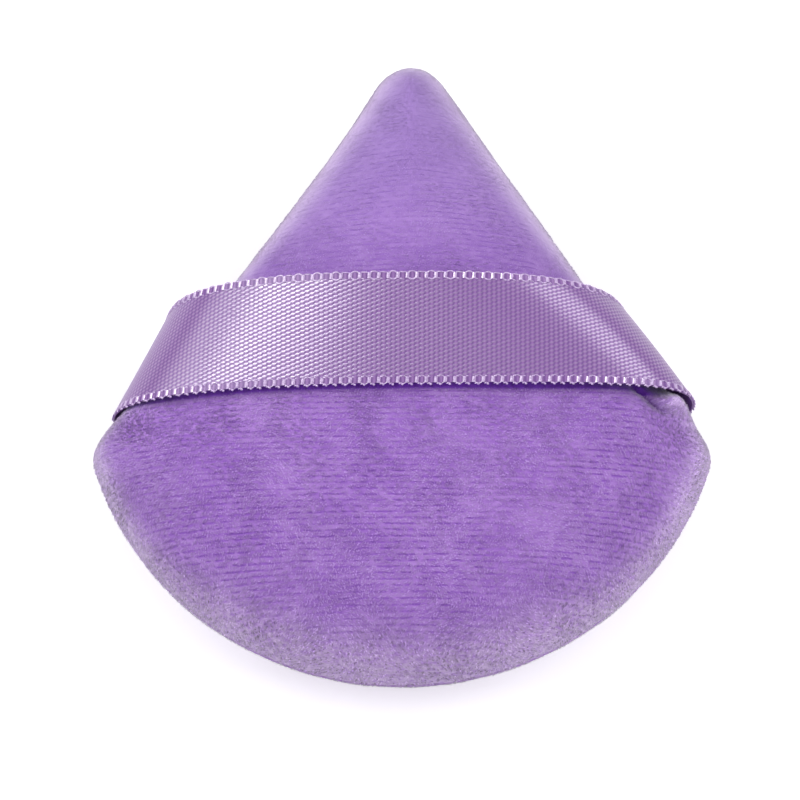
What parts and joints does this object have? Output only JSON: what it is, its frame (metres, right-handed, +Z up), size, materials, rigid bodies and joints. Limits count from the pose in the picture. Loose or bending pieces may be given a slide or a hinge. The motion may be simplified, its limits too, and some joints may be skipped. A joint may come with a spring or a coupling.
{
  "type": "powder puff",
  "caption": "Triangular padded velour powder puff with a pointed tip, a round lower edge and a satin ribbon strap across its back for the fingers to slip under.",
  "frame": {"origin": "middle of the footprint, on the surface that the puff lies on", "axes": "+Z up out of the hand side with the strap, +Y towards the pointed tip, +X to the right along the strap"},
  "size_m": [0.0716, 0.0756, 0.0281],
  "materials": {
    "velour": "short brushed knitted pile, matt with a soft pale rim",
    "foam": "open-cell foam, matt",
    "satin": "woven satin ribbon with looped edges, soft gloss along the length",
    "thread": "spun polyester sewing thread"
  },
  "bodies": {
    "puff": {"hand_velour_panel": "velour", "powder_velour_panel": "velour", "foam_core": "foam", "strap_right_leg": "satin", "strap_left_leg": "satin", "seam_needle_thread": "thread", "seam_bobbin_thread": "thread", "closing_thread": "thread", "left_basting_thread": "thread", "right_basting_thread": "thread"},
    "strap": {"strap_crown": "satin"}
  },
  "joints": [
    {"name": "strap_lift", "type": "slide", "parent": "puff", "child": "strap", "axis": [0, 0, 1], "range_m": [-0.0005, 0.006], "stiffness_N_per_m": 15}
  ]
}
